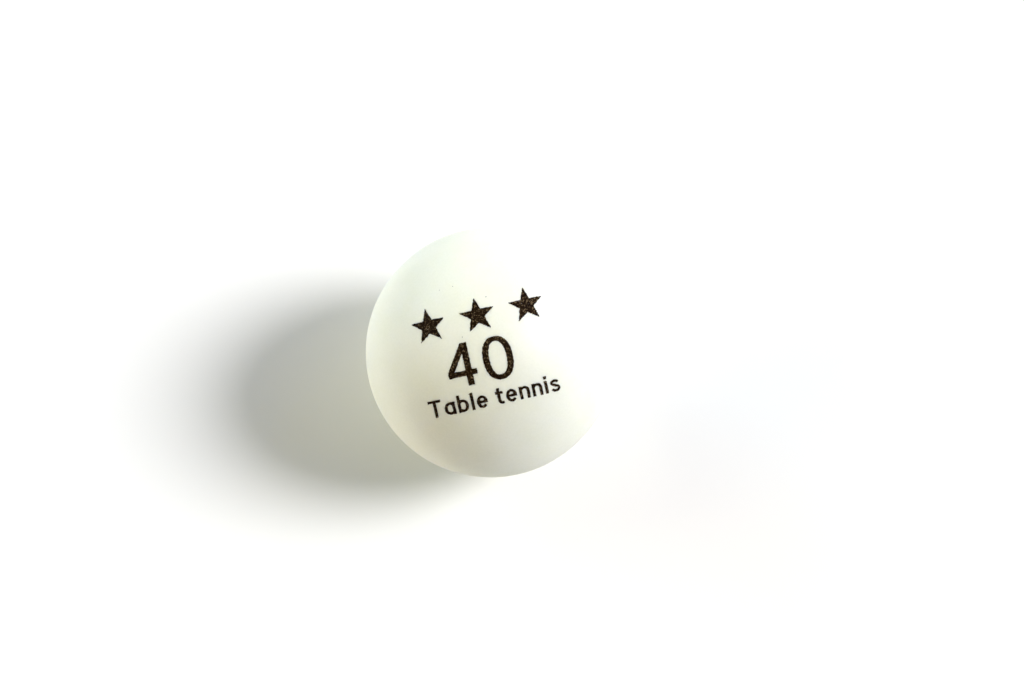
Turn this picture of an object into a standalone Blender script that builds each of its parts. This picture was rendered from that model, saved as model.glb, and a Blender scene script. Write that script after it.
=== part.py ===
"""A 40 mm table tennis ball: two thin half shells, lapped and cemented together, with a printed mark.

World units are metres. The origin is the ball's centre, the seam lies in the XY plane, and +Z is the
seam's axis, through the half that carries the print. The print's artwork is drawn flat, in millimetres.
"""

from math import acos, asin, ceil, cos, degrees, pi, radians, sin

import bmesh
import bpy
from mathutils import Vector

MM = 0.001

# The ball
BALL_RADIUS = 20 * MM
WALL = 0.4 * MM
SEGMENTS = 60
RING_STEP = radians(6)
POLE = pi / 2

# The lap joint. Each shell is thinned to a lip, the printed half's outside and the plain half's inside.
LAP = 0.63 * MM / BALL_RADIUS
JOINT_GAP = 0.05 * MM
LAP_GAP = JOINT_GAP / BALL_RADIUS
INNER_RADIUS = BALL_RADIUS - WALL
LAP_RADIUS = BALL_RADIUS - WALL / 2
OUTER_LIP_RADIUS = LAP_RADIUS + JOINT_GAP / 2
INNER_LIP_RADIUS = LAP_RADIUS - JOINT_GAP / 2

# The cement between the lips, and the bead of it that was squeezed out inside
FILM_CLEARANCE = 0.01 * MM
FILM_CLEARANCE_ANGLE = FILM_CLEARANCE / BALL_RADIUS
CEMENT_INSET = 0.02 * MM
BEAD_HALF_HEIGHT = 0.28 * MM / BALL_RADIUS
BEAD_DEPTH = 0.16 * MM
BEAD_STEPS = 6

# The print: a thin film of ink, tilted from the seam's axis
INK_CLEARANCE = 0.015 * MM
INK_FILM = 0.03 * MM
INK_RADIUS = BALL_RADIUS + INK_CLEARANCE
INK_PITCH_MM = 1.0
STAMP_TILT = radians(16)
STAMP_TURN = radians(12.5)

# The artwork, in millimetres. x runs along its lines of print, and its origin faces straight out.
STAR_COUNT = 3
STAR_POINTS = 5
STAR_RADIUS = 2.75
STAR_NOTCH = 0.41
STAR_PITCH = 7.6
STAR_ROW = (-0.8, 5.9)
DIGIT_HEIGHT = 6.5
FOUR_CORNER = (-7.0, -4.15)
ZERO_CENTRE = (0.88, -1.0)
ZERO_OUTSIDE = (2.28, 3.3)
ZERO_INSIDE = (1.33, 2.58)
ZERO_SQUARENESS = 2.3
CAP_HEIGHT = 2.6
X_HEIGHT = 1.88
STEM = 0.4
BAR = 0.33
LETTER_GAP = 0.46
WORD_GAP = 1.35
CHORD_ERROR = 0.012
TEXT_CENTRE = -0.95
TEXT_BASELINE = -7.95


# Materials


def material(name, colour, roughness, subsurface=0.0):
    made = bpy.data.materials.new(name)
    made.use_nodes = True
    shader = made.node_tree.nodes["Principled BSDF"]
    shader.inputs["Base Color"].default_value = (*colour, 1.0)
    shader.inputs["Roughness"].default_value = roughness
    shader.inputs["Subsurface Weight"].default_value = subsurface
    shader.inputs["Subsurface Scale"].default_value = WALL
    made.diffuse_color = (*colour, 1.0)
    return made


def celluloid():
    """Milky white with a trace of green, and a dry, fine-ground surface."""
    return material("celluloid", (0.82, 0.84, 0.76), 0.55, subsurface=0.6)


def cement():
    """The same plastic dissolved in solvent, dried a little yellower and shinier."""
    return material("cement", (0.74, 0.71, 0.56), 0.3)


def ink():
    """Brown-black pad-printing ink."""
    return material("ink", (0.016, 0.011, 0.007), 0.5)


# The turned pieces


def polar(radius, latitude):
    """A profile point at this distance from the ball's centre and this angle above the equator."""
    return Vector((radius * cos(latitude), 0.0, radius * sin(latitude)))


def meridian(radius, start, end):
    """Profile points at one radius, from one latitude to the other, with one at each ring between."""
    low, high = sorted((start, end))
    rings = [k * RING_STEP for k in range(ceil(low / RING_STEP), ceil(high / RING_STEP))]
    latitudes = [low, *[ring for ring in rings if ring - low > LAP_GAP], high]
    if start > end:
        latitudes.reverse()
    return [polar(radius, latitude) for latitude in latitudes]


def turned(name, profile, closed, finish, collection):
    """The profile turned about Z. It runs down its outer side, and an open one starts and ends on the axis."""
    edges = [(i, i + 1) for i in range(len(profile) - 1)]
    if closed:
        edges.append((len(profile) - 1, 0))
    mesh = bpy.data.meshes.new(name)
    mesh.from_pydata(profile, edges, [])
    mesh.materials.append(finish)
    piece = bpy.data.objects.new(name, mesh)
    collection.objects.link(piece)
    turn = piece.modifiers.new("Turn", "SCREW")
    turn.axis = "Z"
    turn.angle = 2 * pi
    turn.steps = SEGMENTS
    turn.render_steps = SEGMENTS
    turn.use_merge_vertices = True
    turn.merge_threshold = 1e-6
    turn.use_smooth_shade = True
    piece.modifiers.new("Flat ends", "WEIGHTED_NORMAL")
    return piece


def printed_half(finish, collection):
    """The upper half shell. Its lip reaches below the equator, outside the other's."""
    profile = [
        *meridian(BALL_RADIUS, POLE, -LAP),
        *meridian(OUTER_LIP_RADIUS, -LAP, LAP),
        *meridian(INNER_RADIUS, LAP, POLE),
    ]
    return turned("printed_half_shell", profile, False, finish, collection)


def plain_half(finish, collection):
    """The lower half shell. Its lip reaches above the equator, inside the other's."""
    profile = [
        *meridian(INNER_RADIUS, -POLE, LAP - LAP_GAP),
        *meridian(INNER_LIP_RADIUS, LAP - LAP_GAP, -LAP - LAP_GAP),
        *meridian(BALL_RADIUS, -LAP - LAP_GAP, -POLE),
    ]
    return turned("plain_half_shell", profile, False, finish, collection)


def bead(middle):
    """The bead's round side, from its lower edge to its upper one, on the hollow's wall."""
    back = INNER_RADIUS - 2 * FILM_CLEARANCE
    points = []
    for step in range(BEAD_STEPS + 1):
        turn = pi * step / BEAD_STEPS
        depth = BEAD_DEPTH * sin(turn)
        points.append(polar(back - depth, middle - BEAD_HALF_HEIGHT * cos(turn)))
    return points


def seam_cement(finish, collection):
    """The Z-shaped film that fills the lap joint, with its bead inside."""
    upper = LAP - FILM_CLEARANCE_ANGLE
    lip_top = LAP - LAP_GAP + FILM_CLEARANCE_ANGLE
    lip_end = -LAP - FILM_CLEARANCE_ANGLE
    lower = -LAP - LAP_GAP + FILM_CLEARANCE_ANGLE
    outside = OUTER_LIP_RADIUS - FILM_CLEARANCE
    inside = INNER_LIP_RADIUS + FILM_CLEARANCE
    profile = [
        *meridian(outside, upper, lip_end),
        *meridian(BALL_RADIUS - CEMENT_INSET, lip_end, lower),
        *meridian(inside, lower, lip_top),
        polar(INNER_RADIUS - 2 * FILM_CLEARANCE, lip_top),
        *bead(LAP - LAP_GAP / 2),
        polar(INNER_RADIUS - 2 * FILM_CLEARANCE, upper),
    ]
    return turned("seam_cement_ring", profile, True, finish, collection)


# Outlines for the artwork. A shape is a list of loops of (x, y) points: its outline, then its holes.


def arc(centre, radii, start, end, squareness=2.0):
    """Points along an ellipse between two angles in degrees, or along a squarer curve."""
    chord = 2 * degrees(acos(1 - CHORD_ERROR / max(radii)))
    steps = ceil(abs(end - start) / chord)
    points = []
    for step in range(steps + 1):
        angle = radians(start + (end - start) * step / steps)
        across = abs(cos(angle)) ** (2 / squareness) * (1 if cos(angle) >= 0 else -1)
        up = abs(sin(angle)) ** (2 / squareness) * (1 if sin(angle) >= 0 else -1)
        points.append((centre[0] + radii[0] * across, centre[1] + radii[1] * up))
    return points


def ribbon(path, width):
    """The outline of an even stroke along a path."""
    left, right = [], []
    for i, (x, y) in enumerate(path):
        before, after = path[max(i - 1, 0)], path[min(i + 1, len(path) - 1)]
        along = Vector((after[0] - before[0], after[1] - before[1])).normalized()
        left.append((x - along.y * width / 2, y + along.x * width / 2))
        right.append((x + along.y * width / 2, y - along.x * width / 2))
    return left + right[::-1]


def box(left, bottom, right, top):
    return [(left, bottom), (right, bottom), (right, top), (left, top)]


def shifted(shape, x, y):
    return [[(px + x, py + y) for px, py in loop] for loop in shape]


def star():
    """A plain star about its own centre, with one point up."""
    points = []
    for corner in range(2 * STAR_POINTS):
        radius = STAR_RADIUS * (STAR_NOTCH if corner % 2 else 1.0)
        angle = pi / 2 + pi * corner / STAR_POINTS
        points.append((radius * cos(angle), radius * sin(angle)))
    return [points]


def four():
    """The size number's first digit, from its lower left corner: a stem, a bar and a slant."""
    width = 4.4
    stem_left, stem_right = 2.7, 3.65
    bar_bottom, bar_top = 1.52, 2.32
    slant_top, slant_foot = 2.68, 2.4
    outline = [
        (stem_left, 0.0),
        (stem_right, 0.0),
        (stem_right, bar_bottom),
        (width, bar_bottom),
        (width, bar_top),
        (stem_right, bar_top),
        (stem_right, DIGIT_HEIGHT),
        (slant_top, DIGIT_HEIGHT),
        (0.0, slant_foot),
        (0.0, bar_bottom),
        (stem_left, bar_bottom),
    ]
    counter = [(0.98, bar_top), (stem_left, bar_top), (stem_left, 5.0)]
    return [outline, counter]


def zero():
    """The size number's second digit, about its own centre."""
    return [arc((0, 0), radii, 0, 360, ZERO_SQUARENESS)[:-1] for radii in (ZERO_OUTSIDE, ZERO_INSIDE)]


# Letters stand on the baseline with their left edge at x = 0. Each returns its width and its shapes.


def capital_t():
    width = 1.95
    left, right = width / 2 - STEM / 2, width / 2 + STEM / 2
    under = CAP_HEIGHT - BAR
    cross = [(0.0, under), (left, under), (left, 0.0), (right, 0.0), (right, under), (width, under)]
    return width, [[[*cross, (width, CAP_HEIGHT), (0.0, CAP_HEIGHT)]]]


def small_t():
    width, left = 1.1, 0.26
    right, under, top = left + STEM, X_HEIGHT - BAR, 2.4
    turn = (0.88, 0.6)
    outline = [
        (0.0, under),
        (left, under),
        *arc(turn, (turn[0] - left, turn[1]), 180, 270),
        (width, 0.0),
        (width, BAR),
        *arc(turn, (turn[0] - right, turn[1] - BAR), 270, 180),
        (right, under),
        (width, under),
        (width, X_HEIGHT),
        (right, X_HEIGHT),
        (right, top),
        (left, top),
        (left, X_HEIGHT),
        (0.0, X_HEIGHT),
    ]
    return width, [[outline]]


def bowl_letter(height, stem_on_right):
    """A round bowl against a stem of this height: an a with its stem on the right, or a b."""
    width, half = 1.62, 0.86
    middle = (width - half, X_HEIGHT / 2)
    inner = (half - STEM, X_HEIGHT / 2 - BAR)
    meet = 90 + degrees(asin((middle[0] - STEM) / half))
    meet_inner = 90 + degrees(asin((middle[0] - STEM) / inner[0]))
    outline = [
        (STEM, 0.0),
        *arc(middle, (half, X_HEIGHT / 2), -meet, meet),
        (STEM, height),
        (0.0, height),
        (0.0, 0.0),
    ]
    counter = arc(middle, inner, -meet_inner, meet_inner)
    loops = [outline, counter]
    if stem_on_right:
        loops = [[(width - x, y) for x, y in loop][::-1] for loop in loops]
    return width, [loops]


def small_a():
    return bowl_letter(X_HEIGHT, stem_on_right=True)


def small_b():
    return bowl_letter(CAP_HEIGHT, stem_on_right=False)


def small_l():
    return STEM, [[box(0.0, 0.0, STEM, CAP_HEIGHT)]]


def small_e():
    width, half_bar, mouth = 1.62, 0.17, 318
    middle = (width / 2, X_HEIGHT / 2)
    outer = (width / 2, X_HEIGHT / 2)
    inner = (width / 2 - STEM, X_HEIGHT / 2 - BAR)
    bar_outer = degrees(asin(half_bar / outer[1]))
    bar_inner = degrees(asin(half_bar / inner[1]))
    outline = arc(middle, outer, -bar_outer, mouth) + arc(middle, inner, mouth, 180 + bar_inner)
    eye = arc(middle, inner, bar_inner, 180 - bar_inner)
    return width, [[outline, eye]]


def small_n():
    width, rise, inner_rise = 1.52, 0.66, 0.28
    leg = width - STEM
    arch = (width - rise, X_HEIGHT - rise)
    meet = 90 + degrees(asin((arch[0] - STEM) / rise))
    counter = ((STEM + leg) / 2, X_HEIGHT - BAR - inner_rise)
    outline = [
        (0.0, 0.0),
        (STEM, 0.0),
        *arc(counter, ((leg - STEM) / 2, inner_rise), 180, 0),
        (leg, 0.0),
        (width, 0.0),
        *arc(arch, (rise, rise), 0, meet),
        (STEM, X_HEIGHT),
        (0.0, X_HEIGHT),
    ]
    return width, [[outline]]


def small_i():
    stem = [box(0.0, 0.0, STEM, X_HEIGHT)]
    dot = [box(0.0, CAP_HEIGHT - STEM, STEM, CAP_HEIGHT)]
    return STEM, [stem, dot]


def small_s():
    width = 1.42
    middle, radius = width / 2, width / 2 - BAR / 2
    lower, upper = 0.56, X_HEIGHT - 0.54
    path = [
        *arc((middle, upper), (radius - 0.04, upper - lower - 0.44), 20, 215),
        *arc((middle, lower), (radius, lower - BAR / 2), 35, -160),
    ]
    return width, [[ribbon(path, BAR)]]


# The ink


def flat_mesh(name, shape):
    """The shape filled as a flat mesh, cut by a square grid so that it can follow the ball."""
    outline = bpy.data.curves.new(name, "CURVE")
    outline.dimensions = "2D"
    outline.fill_mode = "BOTH"
    for loop in shape:
        spline = outline.splines.new("POLY")
        spline.points.add(len(loop) - 1)
        spline.use_cyclic_u = True
        for point, (x, y) in zip(spline.points, loop):
            point.co = (x, y, 0.0, 1.0)
    guide = bpy.data.objects.new(name, outline)
    mesh = bpy.data.meshes.new_from_object(guide)
    bpy.data.objects.remove(guide)
    bpy.data.curves.remove(outline)
    cut = bmesh.new()
    cut.from_mesh(mesh)
    bmesh.ops.remove_doubles(cut, verts=cut.verts, dist=1e-4)
    for axis in (0, 1):
        reach = [vert.co[axis] for vert in cut.verts]
        first = ceil(min(reach) / INK_PITCH_MM)
        for line in range(first, ceil(max(reach) / INK_PITCH_MM)):
            place, normal = Vector(), Vector()
            place[axis] = line * INK_PITCH_MM
            normal[axis] = 1.0
            everything = [*cut.verts, *cut.edges, *cut.faces]
            bmesh.ops.bisect_plane(cut, geom=everything, dist=1e-4, plane_co=place, plane_no=normal)
    bmesh.ops.recalc_face_normals(cut, faces=cut.faces)
    if sum(face.normal.z for face in cut.faces) < 0:
        bmesh.ops.reverse_faces(cut, faces=cut.faces)
    cut.to_mesh(mesh)
    cut.free()
    return mesh


def ink_film(name, shape, stamp, finish, collection):
    """One island of ink: the flat shape laid straight onto the ball along the stamp's axis, then thickened."""
    mesh = flat_mesh(name, shape)
    for vert in mesh.vertices:
        x, y = vert.co.x * MM, vert.co.y * MM
        vert.co = (x, y, (INK_RADIUS**2 - x * x - y * y) ** 0.5)
    mesh.shade_smooth()
    mesh.materials.append(finish)
    piece = bpy.data.objects.new(name, mesh)
    collection.objects.link(piece)
    piece.parent = stamp
    film = piece.modifiers.new("Film", "SOLIDIFY")
    film.thickness = INK_FILM
    film.offset = 1.0
    return piece


def star_row():
    """The named shapes of the row of stars."""
    for place in range(STAR_COUNT):
        x = STAR_ROW[0] + (place - (STAR_COUNT - 1) / 2) * STAR_PITCH
        yield f"ink_star_{place + 1}", shifted(star(), x, STAR_ROW[1])


def size_number():
    """The named shapes of the ball's diameter in millimetres, 40."""
    yield "ink_digit_4", shifted(four(), *FOUR_CORNER)
    yield "ink_digit_0", shifted(zero(), *ZERO_CENTRE)


def text_line():
    """The named shapes of the game's name, one for each letter and one for the dot."""
    words = [
        [("T", capital_t), ("a", small_a), ("b", small_b), ("l", small_l), ("e", small_e)],
        [("t", small_t), ("e", small_e), ("n", small_n), ("n", small_n), ("i", small_i), ("s", small_s)],
    ]
    drawn, x = [], 0.0
    for word in words:
        for letter, draw in word:
            width, shapes = draw()
            drawn.append((letter, x, shapes))
            x += width + LETTER_GAP
        x += WORD_GAP - LETTER_GAP
    start = TEXT_CENTRE - (x - WORD_GAP) / 2
    for place, (letter, left, shapes) in enumerate(drawn, 1):
        for part, shape in zip(("", "_dot"), shapes):
            yield f"ink_letter_{place:02d}_{letter}{part}", shifted(shape, start + left, TEXT_BASELINE)


def build():
    for stale in list(bpy.data.objects):
        bpy.data.objects.remove(stale)
    ball = bpy.data.collections.new("table_tennis_ball")
    bpy.context.scene.collection.children.link(ball)
    shell_finish, cement_finish, ink_finish = celluloid(), cement(), ink()
    printed_half(shell_finish, ball)
    plain_half(shell_finish, ball)
    seam_cement(cement_finish, ball)
    stamp = bpy.data.objects.new("stamp", None)
    stamp.empty_display_size = BALL_RADIUS
    stamp.rotation_mode = "ZYX"
    stamp.rotation_euler = (STAMP_TILT, 0.0, STAMP_TURN)
    ball.objects.link(stamp)
    for name, shape in [*star_row(), *size_number(), *text_line()]:
        ink_film(name, shape, stamp, ink_finish, ball)


build()
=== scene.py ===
"""The looks of a table tennis ball: fine half shells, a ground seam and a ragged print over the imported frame.

World units are metres, with the ball's centre at the origin and the joint of its halves in the XY plane.
The print is worked out flat, in millimetres, with x along its lines. STAMP then turns it to its place.
"""
from math import asin, atan2, ceil, cos, pi, radians, sin

import bpy
import numpy as np
from mathutils import Matrix, Vector


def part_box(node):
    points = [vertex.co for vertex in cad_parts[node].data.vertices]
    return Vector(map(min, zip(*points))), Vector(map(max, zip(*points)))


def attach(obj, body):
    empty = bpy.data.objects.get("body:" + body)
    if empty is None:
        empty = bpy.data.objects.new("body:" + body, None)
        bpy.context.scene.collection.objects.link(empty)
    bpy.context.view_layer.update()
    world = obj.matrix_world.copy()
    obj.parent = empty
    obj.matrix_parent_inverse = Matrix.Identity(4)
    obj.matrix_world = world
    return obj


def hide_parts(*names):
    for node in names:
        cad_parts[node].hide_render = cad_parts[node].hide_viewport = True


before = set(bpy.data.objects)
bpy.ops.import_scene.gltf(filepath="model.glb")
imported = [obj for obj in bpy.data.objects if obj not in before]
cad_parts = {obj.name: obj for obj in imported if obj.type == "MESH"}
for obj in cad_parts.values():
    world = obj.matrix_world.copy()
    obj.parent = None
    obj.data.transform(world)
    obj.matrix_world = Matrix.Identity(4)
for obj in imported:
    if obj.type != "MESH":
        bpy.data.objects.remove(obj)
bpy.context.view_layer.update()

MM = 0.001

# The shells, with the joint's place read from the frame. Solvent melts the lap joint's two lips into one
# wall, so here each half has its whole wall right up to the line where the outer lip ends.
BALL_RADIUS = -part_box("plain_half_shell")[0].z
LAP = asin(-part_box("printed_half_shell")[0].z / BALL_RADIUS)
WALL = 0.4 * MM
JOINT_GAP = 0.05 * MM
GAP_ANGLE = JOINT_GAP / BALL_RADIUS
INNER_RADIUS = BALL_RADIUS - WALL
EDGE_ROUND = 0.02 * MM
ROUND_STEPS = 4
TURN_STEPS = 240
RING_STEP = radians(1.5)
MERGE_DISTANCE = 1e-7

# The cement between the halves, and its bead inside the ball
CEMENT_CLEARANCE = 0.002 * MM
CEMENT_DIP = 0.005 * MM
BEAD_WIDTH = 0.56 * MM
BEAD_DEPTH = 0.16 * MM
BEAD_STEPS = 16

# The print, with lengths in millimetres. Its film is thinner at the ragged edges, and dust leaves pinholes.
STAMP = Matrix.Rotation(radians(16), 3, "X") @ Matrix.Rotation(radians(12.5), 3, "Z")
INK_PITCH = 0.055
INK_MARGIN = 0.2
INK_SINK = 0.004
INK_EDGE = 0.006
INK_FULL = 0.02
INK_ROUND = 0.08
INK_CREASE = radians(50)
# Where the ink's edge crosses a side of the grid, it keeps this share of the side clear of both ends.
CROSSING_MARGIN = 0.02
# Reading a node's artwork back: how far outwards its outer faces look, the slack round their triangles,
# and how far beside an edge each side is tested for ink.
OUTWARD = 0.5
FACE_SLACK = 0.001
EDGE_TEST = 0.003
# The ink spreads this far past the artwork's outline, and its ragged edge wanders about this far either way.
INK_GAIN = 0.015
LETTER_GAIN = 0.035
RAGGED_DEPTH = 0.026
LETTER_RAGGED_DEPTH = 0.018
SPECK_RAGGED_DEPTH = 0.012
RAGGED_LENGTHS = (0.2, 0.33, 0.7)
RAGGED_WAVES = 24
PINHOLES_PER_MM2 = 0.4
PINHOLE_RADII = (0.02, 0.045)
PINHOLE_RIM = 0.14
INK_SEED = 40
SPECK_SEED = 17
# Stray specks of ink: x, y and radius
SPECKS = (
    (-4.6, -5.5, 0.08),
    (1.1, 8.4, 0.06),
    (-3.7, 3.2, 0.05),
    (-5.6, 11.0, 0.05),
    (-3.5, 11.1, 0.05),
    (8.9, -0.6, 0.05),
)

# Noise lies mostly between these.
NOISE_RANGE = (0.3, 0.7)

# The celluloid: how far light spreads in it, the sizes of its patterns, then its colours and roughness
LIGHT_REACH = 0.9 * MM
LIGHT_SPREAD = (1.0, 0.95, 0.8)
CLOUD_SIZE = 7 * MM
FLECK_SIZE = 0.9 * MM
FLECK_RANGE = (0.72, 0.8)
FLECK_STRENGTH = 0.25
GRAIN_SIZE = 0.33 * MM
SURFACE_DEPTH = 0.006 * MM
SHELL_COLOURS = ((0.868, 0.872, 0.655), (0.892, 0.888, 0.685))
GRAIN_COLOUR = (0.975, 0.975, 0.972)
FLECK_COLOUR = (0.72, 0.70, 0.55)
SHELL_ROUGHNESS = (0.46, 0.62)
# The band round the seam that was ground smooth. Its fine rings are noise squeezed along Z. Its yellower,
# darker tint is painted shade, the darker band that light shows through the seam.
SEAM_BAND = 1.6 * MM
SEAM_SHADE_STRENGTH = 0.35
SEAM_SHADE_COLOUR = (0.86, 0.85, 0.60)
RING_SIZE = 9 * MM
RING_SQUEEZE = (1.0, 1.0, 90.0)
RING_STRENGTH = 1.5

# The cement and the ink
BUBBLE_SIZE = 0.4 * MM
BUBBLE_RANGE = (0.35, 0.65)
CEMENT_COLOURS = ((0.85, 0.79, 0.44), (0.89, 0.84, 0.51))
CEMENT_ROUGHNESS = (0.25, 0.4)
INK_CLOUD_SIZE = 1.6 * MM
INK_SPECK_SIZE = 0.24 * MM
INK_SPECK_RANGE = (0.53, 0.72)
INK_GRAIN_SIZE = 0.1 * MM
INK_RELIEF = 0.004 * MM
INK_COLOURS = ((0.0065, 0.0022, 0.0002), (0.0115, 0.005, 0.0006))
INK_SPECK_COLOUR = (0.18, 0.13, 0.07)
INK_ROUGHNESS = (0.65, 0.85)
INK_SHINE = 0.03

# The picture. With fewer bounces of light, the gap between the ball and the floor is too dark.
DIFFUSE_BOUNCES = 8
VIEW_ELEVATION = radians(74)
VIEW_DISTANCE = 17 * BALL_RADIUS
VIEW_ASIDE = 3.4 * MM
VIEW_ABOVE = 1.91 * MM
LENS = 74.55
SENSOR = 36.0
CLIP_START, CLIP_END = 0.01, 20.0
FLOOR_HALF = 2.0
FLOOR_COLOUR = (0.82, 0.82, 0.78)
BACKDROP_COLOUR = (0.86, 0.87, 0.87)
# The lamps: azimuth, elevation and width in degrees, then strength in red, green and blue
LAMPS = (
    ("key", 4, 41.5, 22.6, (3.8, 3.75, 3.8)),
    ("key_spread", 15, 30, 60, (0.3, 0.4, 0.9)),
    ("low_back_left", 145, 10, 50, (0.25, 0.8, 1.6)),
    ("low_left", 185, 12, 50, (1.85, 1.5, 1.1)),
    ("high_back_left", 150, 38, 40, (0.75, 0.75, 0.55)),
    ("back", 80, 30, 60, (0.9, 0.85, 0.8)),
)


# The turned pieces


def polar(radius, latitude):
    """A point of a profile, in the XZ plane."""
    return (radius * cos(latitude), 0.0, radius * sin(latitude))


def meridian(radius, start, end):
    """Profile points at one radius, evenly spaced from one latitude to the other."""
    steps = max(1, ceil(abs(end - start) / RING_STEP))
    return [polar(radius, start + (end - start) * step / steps) for step in range(steps + 1)]


def rounded_edge(latitude, side):
    """A half shell's rounded outer edge, just above this latitude if side is 1, and just below it if -1."""
    points = []
    for step in range(ROUND_STEPS + 1):
        turn = pi / 2 * step / ROUND_STEPS
        radius = BALL_RADIUS - EDGE_ROUND * (1 - cos(turn))
        points.append(polar(radius, latitude + side * EDGE_ROUND / BALL_RADIUS * (1 - sin(turn))))
    return points


def turned(name, profile, closed, finish, node):
    """A profile turned about Z, in place of a CAD node. A closed one joins its last point to its first."""
    edges = [(i, i + 1) for i in range(len(profile) - 1)]
    if closed:
        edges.append((len(profile) - 1, 0))
    mesh = bpy.data.meshes.new(name)
    mesh.from_pydata(profile, edges, [])
    mesh.materials.append(finish)
    piece = bpy.data.objects.new(name, mesh)
    bpy.context.scene.collection.objects.link(piece)
    turn = piece.modifiers.new("Turn", "SCREW")
    turn.angle = 2 * pi
    turn.steps = TURN_STEPS
    turn.render_steps = TURN_STEPS
    turn.use_merge_vertices = True
    turn.merge_threshold = MERGE_DISTANCE
    turn.use_smooth_shade = True
    piece.modifiers.new("Flat ends", "WEIGHTED_NORMAL")
    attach(piece, "root")
    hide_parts(node)
    return piece


def printed_half(finish):
    """The upper half, which carries the print, down to the seam line."""
    round_start = -LAP + EDGE_ROUND / BALL_RADIUS
    profile = [
        *meridian(BALL_RADIUS, pi / 2, round_start)[:-1],
        *rounded_edge(-LAP, 1),
        *meridian(INNER_RADIUS, -LAP, pi / 2),
    ]
    turned("printed_half", profile, False, finish, "printed_half_shell")


def plain_half(finish):
    """The lower half, up to the cement under the seam line."""
    edge = -LAP - GAP_ANGLE
    profile = [
        *meridian(INNER_RADIUS, -pi / 2, edge),
        *rounded_edge(edge, -1)[::-1],
        *meridian(BALL_RADIUS, edge - EDGE_ROUND / BALL_RADIUS, -pi / 2)[1:],
    ]
    turned("plain_half", profile, False, finish, "plain_half_shell")


def seam_cement(finish):
    """The film of cement between the two edges, with the bead that was squeezed out inside."""
    clear = CEMENT_CLEARANCE / BALL_RADIUS
    upper, lower = -LAP - clear, -LAP - GAP_ANGLE + clear
    back = INNER_RADIUS - CEMENT_CLEARANCE
    bead = []
    for step in range(BEAD_STEPS + 1):
        turn = pi * step / BEAD_STEPS
        rise = -LAP - GAP_ANGLE / 2 - BEAD_WIDTH / 2 / BALL_RADIUS * cos(turn)
        bead.append(polar(back - CEMENT_CLEARANCE - BEAD_DEPTH * sin(turn), rise))
    outer = BALL_RADIUS - CEMENT_DIP
    profile = [polar(outer, upper), polar(outer, lower), polar(back, lower), *bead, polar(back, upper)]
    turned("seam_cement", profile, True, finish, "seam_cement_ring")


# The print


def node_face(node):
    """The flat triangles of an ink node's outer face, in millimetres."""
    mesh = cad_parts[node].data
    mesh.calc_loop_triangles()
    flat = np.array([(STAMP.inverted() @ vertex.co).xy / MM for vertex in mesh.vertices])
    outer = [face for face in mesh.loop_triangles if face.normal.dot(face.center.normalized()) > OUTWARD]
    return [flat[list(face.vertices)] for face in outer]


def is_inked(points, face):
    """Whether each point is in one of the face's triangles, or next to it."""
    inked = np.zeros(len(points), bool)
    for corners in face:
        low, high = corners.min(axis=0) - FACE_SLACK, corners.max(axis=0) + FACE_SLACK
        within = ((points > low) & (points < high)).all(axis=1)
        for start, end in zip(corners, np.roll(corners, -1, axis=0)):
            along = (end - start) / np.hypot(*(end - start))
            away = points - start
            within &= along[0] * away[:, 1] - along[1] * away[:, 0] > -FACE_SLACK
        inked |= within
    return inked


def outline_of(face):
    """The triangles' edges that have ink on one side only, as pairs of end points."""
    edges = np.array([pair for corners in face for pair in zip(corners, np.roll(corners, -1, axis=0))])
    along = edges[:, 1] - edges[:, 0]
    aside = np.column_stack([-along[:, 1], along[:, 0]]) / np.hypot(*along.T)[:, None] * EDGE_TEST
    middles = edges.mean(axis=1)
    return edges[is_inked(middles + aside, face) != is_inked(middles - aside, face)]


def depth_inside(points, face, outline):
    """How far inside the outline each point is, in millimetres, and below zero outside."""
    nearest = np.full(len(points), np.inf)
    for start, end in outline:
        along = end - start
        away = points - start
        share = np.clip(away @ along / (along @ along), 0, 1)
        nearest = np.minimum(nearest, np.hypot(*(away - share[:, None] * along).T))
    return np.where(is_inked(points, face), nearest, -nearest)


def raggedness(points, random):
    """Smooth noise, about 1 either way of zero: plane waves of a few lengths in random directions."""
    total = np.zeros(len(points))
    for length in RAGGED_LENGTHS:
        for _ in range(RAGGED_WAVES // len(RAGGED_LENGTHS)):
            heading, phase = random.uniform(0, 2 * pi, 2)
            wave = points @ np.array([cos(heading), sin(heading)]) * 2 * pi / length
            total += np.sin(wave + phase)
    return total / (RAGGED_WAVES / 2) ** 0.5


def pinholes(points, depth, random):
    """The depth again, with small round holes in it where the stroke is wide enough to hold them."""
    middles = points[depth > PINHOLE_RIM]
    for _ in range(round(len(middles) * INK_PITCH**2 * PINHOLES_PER_MM2)):
        centre = middles[random.integers(len(middles))]
        radius = random.uniform(*PINHOLE_RADII)
        depth = np.minimum(depth, np.hypot(*(points - centre).T) - radius)
    return depth


def without_crumbs(depth, width):
    """The depth again, with ink only in the largest patch of a grid that is this many points wide."""
    left = set(np.flatnonzero(depth > 0))
    largest = []
    while left:
        patch = [left.pop()]
        for index in patch:
            near = left.intersection((index - 1, index + 1, index - width, index + width))
            left -= near
            patch.extend(near)
        largest = max(largest, patch, key=len)
    kept = np.full(len(depth), False)
    kept[largest] = True
    return np.where(kept, depth, -abs(depth))


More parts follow.
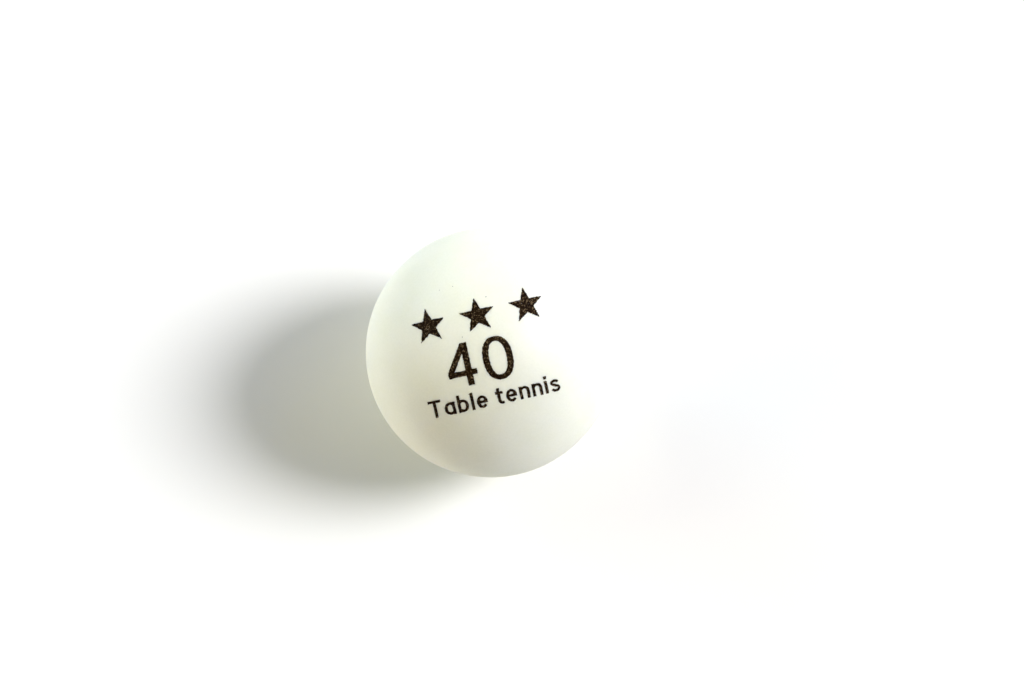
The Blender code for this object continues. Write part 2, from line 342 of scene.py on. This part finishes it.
class InkedGrid:
    """The part of a grid of points where the depth is above zero: flat points, their depths and triangles."""

    def __init__(self, columns, rows, depth):
        self.columns, self.rows, self.depth = columns, rows, depth
        self.places, self.depths, self.triangles = [], [], []
        self.corners, self.crossings = {}, {}
        width = len(columns)
        for row in range(len(rows) - 1):
            for column in range(width - 1):
                a = row * width + column
                b, c, d = a + 1, a + width + 1, a + width
                if (row + column) % 2:
                    halves = ((a, b, c), (a, c, d))
                else:
                    halves = ((a, b, d), (b, c, d))
                for half in halves:
                    self.add(*half)

    def place(self, index):
        """Where a point of the grid lies in the flat artwork."""
        row, column = divmod(index, len(self.columns))
        return np.array((self.columns[column], self.rows[row]))

    def corner(self, index):
        """The number of the vertex at a point of the grid."""
        if index not in self.corners:
            self.corners[index] = len(self.places)
            self.places.append(tuple(self.place(index)))
            self.depths.append(self.depth[index])
        return self.corners[index]

    def crossing(self, inner, outer):
        """The number of the vertex where the ink ends between two points of the grid."""
        if (inner, outer) not in self.crossings:
            share = self.depth[inner] / (self.depth[inner] - self.depth[outer])
            share = min(max(share, CROSSING_MARGIN), 1 - CROSSING_MARGIN)
            start, end = self.place(inner), self.place(outer)
            self.crossings[inner, outer] = len(self.places)
            self.places.append(tuple(start + (end - start) * share))
            self.depths.append(0.0)
        return self.crossings[inner, outer]

    def add(self, a, b, c):
        """Adds a triangle's inked part. A part-inked triangle is turned to start inked and end bare."""
        inked = [self.depth[index] > 0 for index in (a, b, c)]
        while sum(inked) in (1, 2) and (inked[2] or not inked[0]):
            a, b, c = b, c, a
            inked = inked[1:] + inked[:1]
        if sum(inked) == 3:
            self.triangles.append((self.corner(a), self.corner(b), self.corner(c)))
        elif sum(inked) == 1:
            self.triangles.append((self.corner(a), self.crossing(a, b), self.crossing(a, c)))
        elif sum(inked) == 2:
            self.triangles.append((self.corner(a), self.corner(b), self.crossing(b, c)))
            self.triangles.append((self.corner(a), self.crossing(b, c), self.crossing(a, c)))


def on_ball(x, y, height):
    """A point of the flat artwork, this far above the ball's surface, in the frame's metres."""
    radius = BALL_RADIUS / MM + height
    return STAMP @ Vector((x, y, (radius * radius - x * x - y * y) ** 0.5)) * MM


def film(name, grid, finish):
    """A closed film of ink: the grid's triangles on top, a sunk copy below and walls along the free edges."""
    heights = [INK_EDGE + (INK_FULL - INK_EDGE) * min(1.0, depth / INK_ROUND) ** 0.5 for depth in grid.depths]
    count = len(grid.places)
    points = [on_ball(x, y, height) for (x, y), height in zip(grid.places, heights)]
    points += [on_ball(x, y, -INK_SINK) for x, y in grid.places]
    edges = dict.fromkeys(edge for a, b, c in grid.triangles for edge in ((a, b), (b, c), (c, a)))
    walls = [(a, a + count, b + count, b) for a, b in edges if (b, a) not in edges]
    below = [(c + count, b + count, a + count) for a, b, c in grid.triangles]
    mesh = bpy.data.meshes.new(name)
    mesh.from_pydata(points, [], [*grid.triangles, *below, *walls])
    mesh.materials.append(finish)
    mesh.shade_smooth()
    mesh.set_sharp_from_angle(angle=INK_CREASE)
    piece = bpy.data.objects.new(name, mesh)
    bpy.context.scene.collection.objects.link(piece)
    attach(piece, "root")
    return piece


def grid_round(low, high):
    """A fine grid that reaches a little past a box: its columns, its rows and all its points."""
    columns = np.arange(low[0] - INK_MARGIN, high[0] + INK_MARGIN, INK_PITCH)
    rows = np.arange(low[1] - INK_MARGIN, high[1] + INK_MARGIN, INK_PITCH)
    across, up = np.meshgrid(columns, rows)
    return columns, rows, np.column_stack([across.ravel(), up.ravel()])


def printed_island(node, place, finish):
    """The fine ink for one ink node: its outline made ragged, with pinholes."""
    random = np.random.default_rng(INK_SEED + place)
    face = node_face(node)
    outline = outline_of(face)
    low, high = outline.min(axis=(0, 1)), outline.max(axis=(0, 1))
    columns, rows, points = grid_round(low, high)
    gain, ragged = (LETTER_GAIN, LETTER_RAGGED_DEPTH) if "letter" in node else (INK_GAIN, RAGGED_DEPTH)
    depth = depth_inside(points, face, outline) + gain + ragged * raggedness(points, random)
    depth = without_crumbs(pinholes(points, depth, random), len(columns))
    piece = film(node.replace("ink_", "print_"), InkedGrid(columns, rows, depth), finish)
    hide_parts(node)


def stray_specks(finish):
    """A few specks of ink beside the print."""
    random = np.random.default_rng(SPECK_SEED)
    for place, (x, y, radius) in enumerate(SPECKS, 1):
        centre = np.array((x, y))
        columns, rows, points = grid_round(centre - radius, centre + radius)
        inside = radius - np.hypot(*(points - centre).T)
        depth = inside + SPECK_RAGGED_DEPTH * raggedness(points, random)
        film(f"print_speck_{place}", InkedGrid(columns, rows, depth), finish)


# Materials. Their patterns follow the object's own coordinates, so they run on from one half to the other.


def start_material(name):
    """A new material, its node tree and its shader."""
    made = bpy.data.materials.new(name)
    made.use_nodes = True
    return made, made.node_tree, made.node_tree.nodes["Principled BSDF"]


def place_on(tree, stretch=(1.0, 1.0, 1.0)):
    """The object's own coordinates in metres, stretched by this much along each axis."""
    place = tree.nodes.new("ShaderNodeTexCoord")
    scaled = tree.nodes.new("ShaderNodeMapping")
    scaled.inputs["Scale"].default_value = stretch
    tree.links.new(place.outputs["Object"], scaled.inputs["Vector"])
    return scaled.outputs["Vector"]


def noise(tree, size, detail=2.0, stretch=(1.0, 1.0, 1.0)):
    """Smooth noise about 0.5, with lumps of this size in metres."""
    made = tree.nodes.new("ShaderNodeTexNoise")
    made.inputs["Scale"].default_value = 1 / size
    made.inputs["Detail"].default_value = detail
    tree.links.new(place_on(tree, stretch), made.inputs["Vector"])
    return made.outputs["Fac"]


def spread(tree, value, low, high, to_low=0.0, to_high=1.0):
    """The value's range from low to high, eased onto another range."""
    made = tree.nodes.new("ShaderNodeMapRange")
    made.interpolation_type = "SMOOTHSTEP"
    for name, number in (("From Min", low), ("From Max", high), ("To Min", to_low), ("To Max", to_high)):
        made.inputs[name].default_value = number
    tree.links.new(value, made.inputs["Value"])
    return made.outputs["Result"]


def calculate(tree, operation, first, second):
    """One step of arithmetic on two values, each of them a float or another node's output."""
    made = tree.nodes.new("ShaderNodeMath")
    made.operation = operation
    for socket, value in zip(made.inputs, (first, second)):
        if isinstance(value, float):
            socket.default_value = value
        else:
            tree.links.new(value, socket)
    return made.outputs["Value"]


def blend(tree, factor, first, second, how="MIX"):
    """Two colours mixed by a factor."""
    made = tree.nodes.new("ShaderNodeMix")
    made.data_type = "RGBA"
    made.blend_type = how
    tree.links.new(factor, made.inputs["Factor"])
    for name, colour in (("A", first), ("B", second)):
        socket = next(s for s in made.inputs if s.name == name and s.type == "RGBA")
        if isinstance(colour, tuple):
            socket.default_value = (*colour, 1.0)
        else:
            tree.links.new(colour, socket)
    return next(s for s in made.outputs if s.type == "RGBA")


def relief(tree, shader, height, depth):
    """Fine relief from a height, where a height of 1 is this deep in metres."""
    bump = tree.nodes.new("ShaderNodeBump")
    bump.inputs["Distance"].default_value = depth
    tree.links.new(height, bump.inputs["Height"])
    tree.links.new(bump.outputs["Normal"], shader.inputs["Normal"])


def let_light_in(shader):
    """Light spreads inside the plastic, red the furthest and blue the least."""
    shader.inputs["Subsurface Weight"].default_value = 1.0
    shader.inputs["Subsurface Radius"].default_value = LIGHT_SPREAD
    shader.inputs["Subsurface Scale"].default_value = LIGHT_REACH


def seam_band(tree, half_width):
    """1 along the seam, easing to 0 at this distance from it."""
    apart = tree.nodes.new("ShaderNodeSeparateXYZ")
    tree.links.new(place_on(tree), apart.inputs["Vector"])
    height = calculate(tree, "ADD", apart.outputs["Z"], BALL_RADIUS * sin(LAP))
    return spread(tree, calculate(tree, "ABSOLUTE", height, 0.0), 0.0, half_width, 1.0, 0.0)


def celluloid():
    """Milky ivory plastic, tumbled to a dry matte surface, and ground round the seam, with painted shade in a
    darker band along it.
    """
    made, tree, shader = start_material("celluloid_fine")
    cloud = spread(tree, noise(tree, CLOUD_SIZE, 3.0), *NOISE_RANGE)
    flecks = spread(tree, noise(tree, FLECK_SIZE, 4.0), *FLECK_RANGE, 0.0, FLECK_STRENGTH)
    grain = noise(tree, GRAIN_SIZE, 3.0)
    band = seam_band(tree, SEAM_BAND)
    colour = blend(tree, cloud, *SHELL_COLOURS)
    colour = blend(tree, spread(tree, grain, *NOISE_RANGE), colour, GRAIN_COLOUR, "MULTIPLY")
    colour = blend(tree, flecks, colour, FLECK_COLOUR)
    # Painted shade: a yellower, darker tint along the seam stands in for the darker band that light shows
    # through it.
    colour = blend(tree, calculate(tree, "MULTIPLY", band, SEAM_SHADE_STRENGTH), colour, SEAM_SHADE_COLOUR)
    tree.links.new(colour, shader.inputs["Base Color"])
    rings = calculate(tree, "MULTIPLY", noise(tree, RING_SIZE, 2.0, RING_SQUEEZE), band)
    height = calculate(tree, "ADD", grain, calculate(tree, "MULTIPLY", rings, RING_STRENGTH))
    relief(tree, shader, height, SURFACE_DEPTH)
    tree.links.new(spread(tree, grain, *NOISE_RANGE, *SHELL_ROUGHNESS), shader.inputs["Roughness"])
    let_light_in(shader)
    return made


def cement():
    """The same plastic dissolved in solvent, dried yellower, denser and shinier, with fine bubbles."""
    made, tree, shader = start_material("cement_fine")
    bubbles = noise(tree, BUBBLE_SIZE, 3.0)
    colour = blend(tree, spread(tree, bubbles, *BUBBLE_RANGE), *CEMENT_COLOURS)
    tree.links.new(colour, shader.inputs["Base Color"])
    tree.links.new(spread(tree, bubbles, *NOISE_RANGE, *CEMENT_ROUGHNESS), shader.inputs["Roughness"])
    relief(tree, shader, bubbles, SURFACE_DEPTH)
    return made


def ink():
    """Brown-black pad-printing ink, dry, and speckled where it is thin."""
    made, tree, shader = start_material("ink_fine")
    cloud = spread(tree, noise(tree, INK_CLOUD_SIZE, 2.0), *NOISE_RANGE)
    specks = spread(tree, noise(tree, INK_SPECK_SIZE, 2.0), *INK_SPECK_RANGE)
    colour = blend(tree, cloud, *INK_COLOURS)
    colour = blend(tree, specks, colour, INK_SPECK_COLOUR)
    tree.links.new(colour, shader.inputs["Base Color"])
    tree.links.new(spread(tree, specks, 0.0, 1.0, *INK_ROUGHNESS), shader.inputs["Roughness"])
    shader.inputs["Specular IOR Level"].default_value = INK_SHINE
    relief(tree, shader, noise(tree, INK_GRAIN_SIZE, 2.0), INK_RELIEF)
    return made


# The stage


def floor():
    """A pale, matt floor under the ball."""
    mesh = bpy.data.meshes.new("floor")
    sides = [(-1, -1), (1, -1), (1, 1), (-1, 1)]
    corners = [(x * FLOOR_HALF, y * FLOOR_HALF, -BALL_RADIUS) for x, y in sides]
    mesh.from_pydata(corners, [], [(0, 1, 2, 3)])
    made, _, shader = start_material("floor")
    shader.inputs["Base Color"].default_value = (*FLOOR_COLOUR, 1.0)
    shader.inputs["Roughness"].default_value = 1.0
    shader.inputs["Specular IOR Level"].default_value = 0.0
    mesh.materials.append(made)
    plane = bpy.data.objects.new("floor", mesh)
    bpy.context.scene.collection.objects.link(plane)


def sun(name, azimuth, elevation, width, strength):
    """A far, soft lamp. Its azimuth runs anticlockwise from +X, and its width is how large it looks."""
    light = bpy.data.lights.new(name, "SUN")
    light.energy = max(strength)
    light.color = [channel / light.energy for channel in strength]
    light.angle = radians(width)
    lamp = bpy.data.objects.new(name, light)
    bpy.context.scene.collection.objects.link(lamp)
    turn, rise = radians(azimuth), radians(elevation)
    towards = Vector((cos(turn) * cos(rise), sin(turn) * cos(rise), sin(rise)))
    lamp.rotation_euler = towards.to_track_quat("Z", "Y").to_euler()


def backdrop():
    """A pale wall all round that only the camera sees, since the lamps give all the light."""
    world = bpy.data.worlds.new("backdrop")
    bpy.context.scene.world = world
    world.use_nodes = True
    nodes, links = world.node_tree.nodes, world.node_tree.links
    background = nodes["Background"]
    background.inputs["Color"].default_value = (*BACKDROP_COLOUR, 1.0)
    seen = nodes.new("ShaderNodeLightPath")
    links.new(seen.outputs["Is Camera Ray"], background.inputs["Strength"])


def lights():
    """A large key lamp on the right, and weaker, broader ones that reach round the left side and the back."""
    for name, azimuth, elevation, width, strength in LAMPS:
        sun(name, azimuth, elevation, width, strength)


def camera():
    """Looks down at the ball from the front, aimed a little past its centre, to the right and up."""
    data = bpy.data.cameras.new("camera")
    data.lens = LENS
    data.sensor_width = SENSOR
    data.clip_start = CLIP_START
    data.clip_end = CLIP_END
    made = bpy.data.objects.new("camera", data)
    bpy.context.scene.collection.objects.link(made)
    lean = Matrix.Rotation(pi / 2 - VIEW_ELEVATION, 4, "X")
    aside = Matrix.Rotation(-atan2(VIEW_ASIDE, VIEW_DISTANCE), 4, "Y")
    above = Matrix.Rotation(atan2(VIEW_ABOVE, VIEW_DISTANCE), 4, "X")
    back = Matrix.Translation((0.0, 0.0, VIEW_DISTANCE))
    made.matrix_world = lean @ back @ aside @ above
    bpy.context.scene.camera = made


def main():
    """Makes the ball's pieces and the stage."""
    shell_finish, cement_finish, ink_finish = celluloid(), cement(), ink()
    printed_half(shell_finish)
    plain_half(shell_finish)
    seam_cement(cement_finish)
    for place, node in enumerate(sorted(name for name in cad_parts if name.startswith("ink_"))):
        printed_island(node, place, ink_finish)
    stray_specks(ink_finish)
    floor()
    backdrop()
    lights()
    camera()
    bpy.context.scene.view_settings.view_transform = "Standard"
    bpy.context.scene.cycles.diffuse_bounces = DIFFUSE_BOUNCES


main()
